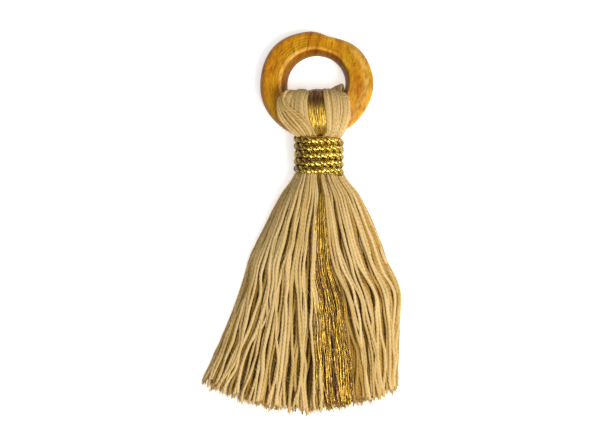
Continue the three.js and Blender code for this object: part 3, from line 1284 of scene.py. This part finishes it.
    @staticmethod
    def add_fibres(
        mesh: StrandMesh,
        start: Array,
        reach: Array,
        curl: Array,
        tones: Array,
        knots: int,
        thickness: tuple[float, float],
        lowest: float,
    ) -> None:
        """Adds fine fibres that bend away from where they start.

        Args:
            mesh: The mesh that they join.
            start: Where each starts.
            reach: How far each goes, and which way.
            curl: How far its end bends off that way.
            tones: Each one's lightness, as a column.
            knots: How many points each has.
            thickness: The radius at the start, and the share of it that is lost by the end.
            lowest: How near the surface that the tassel lies on a fibre may come.
        """
        share = np.linspace(0, 1, knots)[None, :, None]
        path = start[:, None] + reach[:, None] * share
        path = path + curl[:, None] * share**2
        path[..., 2] = np.maximum(path[..., 2], lowest)
        radii = np.full(path.shape[:2], thickness[0]) * (1 - thickness[1] * share[..., 0])
        mesh.add(path, radii, np.broadcast_to(tones, path.shape[:2]))

    def note_fibres(self, paths: Array, layer: Array) -> None:
        """Keeps where hairs and frayed ends start.

        Args:
            paths: Strands by points by 3.
            layer: Each strand's layer.
        """
        along = unit(np.gradient(paths, axis=1))
        pairs = np.stack([paths, along], axis=2)
        self.ends.append(np.stack([paths[:, 0], -along[:, 0]], axis=1))
        self.ends.append(np.stack([paths[:, -1], along[:, -1]], axis=1))
        self.hair_roots.append(pairs[layer > 0.9].reshape(-1, 2, 3))

    def build(self) -> None:
        """Makes the pieces."""
        material = self.finish.build()
        inner = StrandMesh(self.inner_sides)
        for side, seed, name in ((-1, 11, "cream_yarn_left"), (1, 12, "cream_yarn_right")):
            band = self.band(side, seed)
            rng = np.random.default_rng(seed + 100)
            mesh = StrandMesh(self.sides)
            paths = along_knots(band.knots(), self.step)
            radii, tones = self.radii(paths, rng), self.tones(paths, band.layer, rng)
            shown = band.layer > 0.5
            mesh.add(paths[shown], radii[shown], tones[shown])
            inner.add(paths[~shown], radii[~shown], tones[~shown])
            self.note_fibres(paths, band.layer)
            if side < 0:
                loops = along_knots(self.loop_knots(band), self.step)
                level = np.full(self.loops, 1.0)
                thin = self.radii(loops, rng) * self.loop_thin
                mesh.add(loops, thin, self.tones(loops, level, rng) + self.loop_tone)
                self.note_fibres(loops, level)
            hand_over(mesh.build(name, material), "cotton_yarn", "cotton_hank")
        hand_over(inner.build("cream_yarn_inner", material), "cotton_yarn", "cotton_hank")
        self.fuzz(replace(self.finish, name="cotton_fibre", bump=0.0).build())


@dataclass
class GoldHank:
    """The gold threads, each a strip of foil twisted on itself."""

    form: Form
    finish: MetallicThread
    strands: int = 72
    radius: float = 0.2
    flat: float = 0.6
    step: float = 0.62
    sides: int = 4
    twists_per_mm: float = 0.11

    def build(self) -> None:
        """Makes the two pieces, a left and a right half of the threads."""
        form = self.form
        rng = np.random.default_rng(21)
        n = self.strands
        place = np.sort((np.arange(n) * 0.618) % 1.0)
        layer = rng.choice([1.0, 0.88, 0.74], n, p=[0.5, 0.3, 0.2]) + rng.normal(0, 0.02, n)
        edge = np.ones(len(form.down))
        band = Band(
            form=form,
            place=place,
            layer=layer,
            neck_layer=layer * 0.9,
            skirt_edges={
                Leg.FRONT: (form.gold_left - 0.03, form.gold_right),
                Leg.BACK: (-0.06 * edge, 0.07 * edge),
            },
            neck_edges=(-0.08, 0.16),
            head_edges=list(GOLD_HEAD),
            radius=self.radius,
            seed=22,
            bend=0.9,
            ripple=0.3,
            lock_pull=0.2,
            locks=6,
            sink=0.05,
            uneven=0.014,
        )
        paths = along_knots(band.knots(), self.step)
        n, s, _ = paths.shape
        radii = self.radius * (1 + 0.15 * smooth_noise(rng, n, s, 6))
        y, z = paths[..., 1], paths[..., 2]
        # Painted shade darkens the foil at the crest and behind it, and a painted highlight makes it
        # brightest on the head's front.
        painted_lighting = rise(y, 28.8, 2.2) + fall(z, form.neck_z, 2)
        tones = 0.43 + rng.normal(0, 0.17, (n, 1)) - 0.42 * np.clip(painted_lighting, 0, 1)
        tones = tones + 0.25 * rise(y, 22.0, 2)
        material = self.finish.build()
        turn = rng.uniform(0, 6.28, n)
        for name, part in (("gold_threads_a", slice(0, n, 2)), ("gold_threads_b", slice(1, n, 2))):
            mesh = StrandMesh(self.sides)
            mesh.add(paths[part], radii[part], tones[part], self.flat, self.twists_per_mm, turn[part])
            hand_over(mesh.build(name, material), "gold_thread", "gold_thread_hank")


@dataclass
class BindingCord:
    """Three plies of gold thread twisted together and wound round the neck, each turn against the last."""

    form: Form
    finish: MetallicThread
    turns: int = 5
    plies: int = 3
    cord: float = 2.2
    ply_share: float = 0.475
    ply_pitch: float = 5.7
    pitch: float = 1.94
    top: float = 22.0
    step: float = 0.3
    sides: int = 12
    fine_steps: int = 4000

    def core(self, rng: Rng) -> tuple[Array, Array]:
        """The cord's middle line.

        Args:
            rng: The source of random numbers.

        Returns:
            The points, and how far along the cord each is.
        """
        low, high = self.form.bind_low, self.form.bind_high
        radius = self.cord / 2
        half_wide = (high[0] - low[0]) / 2 - radius
        half_deep = (high[2] - low[2]) / 2 - radius
        fine = np.linspace(0, self.turns, self.fine_steps)
        angle = 2 * math.pi * fine - math.pi / 2
        x = self.form.neck_x - half_wide * np.cos(angle)
        y = self.top - radius + self.pitch * (0.5 - fine)
        z = self.form.neck_z + half_deep * np.sin(angle)
        core = np.stack([x, y, z], axis=-1)
        run = np.concatenate([[0.0], np.cumsum(np.linalg.norm(np.diff(core, axis=0), axis=1))])
        at = np.linspace(0, run[-1], int(run[-1] / self.step))
        core = np.stack([np.interp(at, run, core[:, k]) for k in range(3)], axis=-1)
        core[:, 1] += smooth_noise(rng, 1, len(at), 25)[0] * 0.1
        return core, at

    def build(self) -> None:
        """Makes the piece."""
        rng = np.random.default_rng(31)
        core, at = self.core(rng)
        side, other = (v[0] for v in frames_along(core[None]))
        radius = self.cord / 2
        ply_radius = radius * self.ply_share
        mesh = StrandMesh(self.sides)
        pitch = self.ply_pitch * (1 + 0.05 * smooth_noise(rng, 1, len(at), 40)[0])
        turned = np.cumsum(self.step / pitch)
        for ply in range(self.plies):
            swing = 2 * math.pi * (turned + ply / self.plies)
            out = radius - ply_radius
            centre = core + out * (np.cos(swing)[:, None] * side + np.sin(swing)[:, None] * other)
            radii = ply_radius * (1 + 0.08 * smooth_noise(rng, 1, len(at), 6))
            tones = 0.56 + 0.05 * ply + 0.1 * smooth_noise(rng, 1, len(at), 8)
            # Painted shade darkens the metal round the neck's left side, and a little at its right.
            tones = tones - 0.34 * fall(centre[:, 0], 3.2, 3.0)
            tones = tones - 0.16 * rise(centre[:, 0], 8.5, 2.0)
            mesh.add(centre[None], radii, tones)
        piece = mesh.build("gold_binding", self.finish.build())
        hand_over(piece, "gold_cord", "binding_cord")


# ---- The ring ----


@dataclass
class WoodenRing:
    """A turned ring with rounded rims and a wide chamfer round the bore, brought out of true by hand rubbing.
    """

    form: Form
    finish: VarnishedWood
    bore: float = 14.9
    depth: float = 5.3
    outer_round: float = 2.1
    flare: float = 1.65
    flare_at_quarter: float = 0.6
    arris: float = 0.34
    near_side_up: float = 8.0
    right_side_up: float = 4.0
    flat_angle: float = 75.0
    flat_depth: float = 0.078
    flat_spread: tuple[float, float] = (24.0, 12.0)
    full_angle: float = 130.0
    full_height: float = 0.05
    full_spread: float = 22.0
    facet_from: float = 10.2
    facet_width: float = 3.2
    facet_slope: float = 0.3
    oval: float = 0.046
    steps: int = 96

    def section(self, inner: float, outer: float) -> Piece:
        """The ring's section as a face, in the plane of the ring's axis.

        Args:
            inner: The radius of the faces' inner edge, in metres.
            outer: The ring's outer radius, in metres.

        Returns:
            The object, with the section's outline as its mesh.
        """
        deselect_all()
        bpy.ops.mesh.primitive_plane_add(size=1.0, location=(0.0, 0.0, 0.0))
        ring = bpy.context.object
        ring.name = ring.data.name = "ring"
        bpy.ops.object.mode_set(mode="EDIT")
        bpy.ops.mesh.select_all(action="SELECT")
        bpy.ops.transform.resize(value=(outer - inner, self.depth * MM, 1.0))
        self.bevel_corners(ring, lambda v: v[0] > 0, self.outer_round, 4)
        on_face = self.depth / 2 * MM * 0.99
        self.select(ring, lambda v: v[0] < 0)
        bpy.ops.mesh.subdivide(number_cuts=3)
        quarter, waist = self.depth / 4 * MM * 1.1, self.depth / 4 * MM * 0.5
        self.select(ring, lambda v: v[0] < 0 and abs(v[1]) < quarter)
        bpy.ops.transform.translate(value=(-self.flare * self.flare_at_quarter * MM, 0.0, 0.0))
        self.select(ring, lambda v: v[0] < 0 and abs(v[1]) < waist)
        bpy.ops.transform.translate(value=(-self.flare * (1 - self.flare_at_quarter) * MM, 0.0, 0.0))
        self.bevel_corners(ring, lambda v: v[0] < 0 and abs(v[1]) > on_face, self.arris, 2)
        self.select(ring, lambda v: abs(v[1]) > on_face)
        bpy.ops.mesh.subdivide(number_cuts=4)
        bpy.ops.object.mode_set(mode="OBJECT")
        flat = places(ring)
        upright = np.stack([flat[:, 0] + (outer + inner) / 2, flat[:, 2], flat[:, 1]], axis=-1)
        move_to(ring, upright)
        return ring

    @staticmethod
    def select(ring: Piece, wanted: Test) -> None:
        """Selects the vertices whose place passes a test, and goes back to edit mode.

        Args:
            ring: The object.
            wanted: The test of a vertex's place.
        """
        bpy.ops.object.mode_set(mode="EDIT")
        bpy.ops.mesh.select_all(action="DESELECT")
        bpy.ops.object.mode_set(mode="OBJECT")
        for vertex in ring.data.vertices:
            vertex.select = bool(wanted(vertex.co))
        for edge in ring.data.edges:
            edge.select = all(ring.data.vertices[end].select for end in edge.vertices)
        bpy.ops.object.mode_set(mode="EDIT")

    def bevel_corners(self, ring: Piece, wanted: Test, size: float, segments: int) -> None:
        """Bevels some corners of the section.

        Args:
            ring: The section.
            wanted: The test of a corner's place.
            size: The bevel's size, in millimetres.
            segments: How many faces it has.
        """
        self.select(ring, wanted)
        bpy.ops.mesh.bevel(
            affect="VERTICES", offset_type="OFFSET", offset=size * MM, segments=segments, profile=0.5
        )

    def build(self) -> None:
        """Makes the piece."""
        low, high = self.form.ring_low, self.form.ring_high
        middle = (low + high) / 2 * MM
        outer = (high[0] - low[0]) / 2 * MM
        ring = self.section((self.bore / 2 + self.flare) * MM, outer)
        bpy.ops.object.mode_set(mode="EDIT")
        bpy.ops.mesh.select_all(action="SELECT")
        bpy.ops.mesh.delete(type="ONLY_FACE")
        bpy.ops.mesh.select_all(action="SELECT")
        bpy.ops.mesh.spin(steps=self.steps, angle=2 * math.pi, center=(0, 0, 0), axis=(0, 0, 1))
        bpy.ops.mesh.select_all(action="SELECT")
        bpy.ops.mesh.remove_doubles(threshold=1e-6)
        bpy.ops.mesh.normals_make_consistent(inside=False)
        bpy.ops.object.mode_set(mode="OBJECT")
        self.mark_painted_lighting(ring, outer / MM)
        self.finish_by_hand(ring)
        co = places(ring)
        roll, pitch = math.radians(-self.right_side_up), math.radians(-self.near_side_up)
        about_y = np.array(
            [[math.cos(roll), 0, math.sin(roll)], [0, 1, 0], [-math.sin(roll), 0, math.cos(roll)]]
        )
        about_x = np.array(
            [[1, 0, 0], [0, math.cos(pitch), -math.sin(pitch)], [0, math.sin(pitch), math.cos(pitch)]]
        )
        co = co @ about_y.T @ about_x.T
        shift = middle - (co.min(0) + co.max(0)) / 2
        shift[2] = -co[:, 2].min()
        move_to(ring, co + shift)
        smooth = ring.modifiers.new("smooth", "SUBSURF")
        smooth.levels = smooth.render_levels = 1
        bpy.ops.object.modifier_apply(modifier=smooth.name)
        bpy.ops.object.shade_smooth()
        ring.data.materials.append(self.finish.build())
        hand_over(ring, "varnished_wood", "wooden_ring")

    def mark_painted_lighting(self, ring: Piece, outer: float) -> None:
        """Marks painted shade in the bore, painted highlights along the inner edge and the right shoulder,
        and painted shade on the left rim and the right side, as attributes.

        Args:
            ring: The ring, lying flat round the origin.
            outer: Its outer radius, in millimetres.
        """
        co = places(ring) / MM
        reach = np.hypot(co[:, 0], co[:, 1])
        edge = self.bore / 2 + self.flare
        rightward = co[:, 0] / reach
        # Painted highlights: a pale line along the inner edge, mostly at the left, and along the shoulder at
        # the right.
        arris = hump(reach - edge, 0.22, 0.19) * np.clip(0.38 - 0.4 * rightward, 0, 1)
        shoulder = hump(reach - outer, -1.7, 0.5) * np.clip(2.2 * rightward - 1.1, 0, 1)
        # Painted shade on the outer rim at the left and over the right side.
        rim = rise(reach - outer, -1.2, 0.9) * np.clip(0.5 - 0.9 * rightward, 0, 1)
        painted_shade_right = 0.33 * rise(rightward, 0.35, 0.35)
        # The bore is marked for painted shade.
        marks = {
            "bore": fall(reach, edge - 0.05, 0.15),
            "painted_lighting": np.maximum(arris, shoulder),
            "painted_shade": np.maximum(rim, painted_shade_right),
        }
        for name, value in marks.items():
            mark = ring.data.attributes.new(name, "FLOAT", "POINT")
            mark.data.foreach_set("value", value.astype(np.float32))

    def finish_by_hand(self, ring: Piece) -> None:
        """Rubs the ring out of true: flat at the upper right, full at the upper left, a facet at the right.

        Args:
            ring: The ring, lying flat round the origin.
        """
        co = places(ring)
        angle = np.degrees(np.arctan2(co[:, 1], co[:, 0]))
        reach = np.hypot(co[:, 0], co[:, 1])
        out = (reach - reach.min()) / (reach.max() - reach.min())
        away = angle - self.flat_angle
        flat = self.flat_depth * hump(away, 0.0, np.where(away < 0, *self.flat_spread))
        full = self.full_height * hump(angle, self.full_angle, self.full_spread)
        turn = np.radians(angle)
        uneven = 0.004 * np.sin(3 * turn + 0.7) + 0.003 * np.sin(7 * turn + 2.1)
        scale = 1 + (full - flat + uneven) * out
        on_top = rise(co[:, 2], 0, self.depth / 2 * MM)
        facet = np.clip(co[:, 0] / MM - self.facet_from, 0, self.facet_width) * on_top
        lumps = 0.05 * np.sin(5 * turn + 0.4) + 0.04 * np.sin(9 * turn + 1.9)
        co[:, 2] += (lumps * np.sign(co[:, 2]) - self.facet_slope * facet) * MM
        co[:, 0] *= scale
        co[:, 1] *= scale * (1 - self.oval * out)
        move_to(ring, co)


# ---- The studio ----


@dataclass
class Studio:
    """The surface, the lights and the camera."""

    lens: float = 85.0
    fill: float = 0.865
    camera_right: float = 0.019
    key_power: float = 4.0
    softbox_power: float = 1.6
    sky_strength: float = 0.13
    frame_width: int = 600
    frame_height: int = 441

    def build(self) -> None:
        """Makes them all."""
        self.floor()
        self.camera()
        self.light("key", (0.29, -0.23, 0.45), 0.32, self.key_power, (1.0, 0.97, 0.93))
        self.light("softbox", (0.08, 0.02, 0.65), 0.5, self.softbox_power, (1.0, 0.99, 0.97))
        world = bpy.data.worlds.new("studio")
        world.use_nodes = True
        sky = world.node_tree.nodes["Background"]
        sky.inputs["Color"].default_value = (1.0, 1.0, 1.0, 1.0)
        sky.inputs["Strength"].default_value = self.sky_strength
        bpy.context.scene.world = world
        bpy.context.scene.view_settings.view_transform = "Standard"

    def floor(self) -> None:
        """A wide pale sheet, just under the tassel."""
        deselect_all()
        bpy.ops.mesh.primitive_plane_add(size=4.0, location=(0.0, 0.0, 0.0))
        sheet = bpy.context.object
        sheet.name = "surface"
        bpy.ops.object.mode_set(mode="EDIT")
        bpy.ops.mesh.select_all(action="SELECT")
        bpy.ops.mesh.subdivide(number_cuts=4)
        bpy.ops.transform.translate(value=(0.0, 0.0, -0.00002))
        bpy.ops.object.mode_set(mode="OBJECT")
        sheet.data.materials.append(Paper().build())

    def camera(self) -> None:
        """Looks straight down from a little to the right, as from the middle of a row of tassels."""
        low, high = (np.array(v) for v in CAD_BOX)
        middle = (low + high) / 2
        data = bpy.data.cameras.new("camera")
        data.lens = self.lens
        data.clip_start, data.clip_end = 0.01, 10.0
        view_height = (high[1] - low[1]) / self.fill
        half = data.sensor_width * self.frame_height / self.frame_width / 2
        distance = view_height / 2 / (half / self.lens)
        camera = bpy.data.objects.new("camera", data)
        bpy.context.scene.collection.objects.link(camera)
        place = middle + np.array([self.camera_right, 0.0, 0.0])
        place[2] = middle[2] + distance
        camera.location = place
        aim = middle - place
        camera.rotation_euler = (0.0, math.atan2(-aim[0], -aim[2]), 0.0)
        bpy.context.scene.camera = camera

    def light(self, name: str, place: tuple, size: float, power: float, colour: tuple) -> None:
        """A square lamp that faces the tassel.

        Args:
            name: Its name.
            place: Where it stands, in metres.
            size: The length of its side.
            power: In watts.
            colour: Its colour.
        """
        data = bpy.data.lights.new(name, "AREA")
        data.size = size
        data.energy = power
        data.color = colour
        lamp = bpy.data.objects.new(name, data)
        bpy.context.scene.collection.objects.link(lamp)
        lamp.location = place
        back = np.array(place) / np.linalg.norm(place)
        lamp.rotation_mode = "QUATERNION"
        lamp.rotation_quaternion = Vector(-back).to_track_quat("-Z", "Y")


def main() -> None:
    """Builds the tassel and its studio."""
    logging.basicConfig(level=logging.INFO, format="%(name)s: %(message)s")
    Studio().build()
    form = Form()
    WoodenRing(form, VarnishedWood()).build()
    CottonHank(form, CottonYarn()).build()
    GoldHank(form, MetallicThread("gold_thread", roughness=0.38, stretch=0.45, contrast=1.1)).build()
    cord = MetallicThread(
        "gold_cord",
        bright=(0.80, 0.61, 0.14),
        old=(0.39, 0.265, 0.032),
        roughness=0.22,
        stretch=0.45,
        contrast=1.2,
        threads=6.0,
    )
    BindingCord(form, cord).build()


if __name__ == "__main__":
    main()
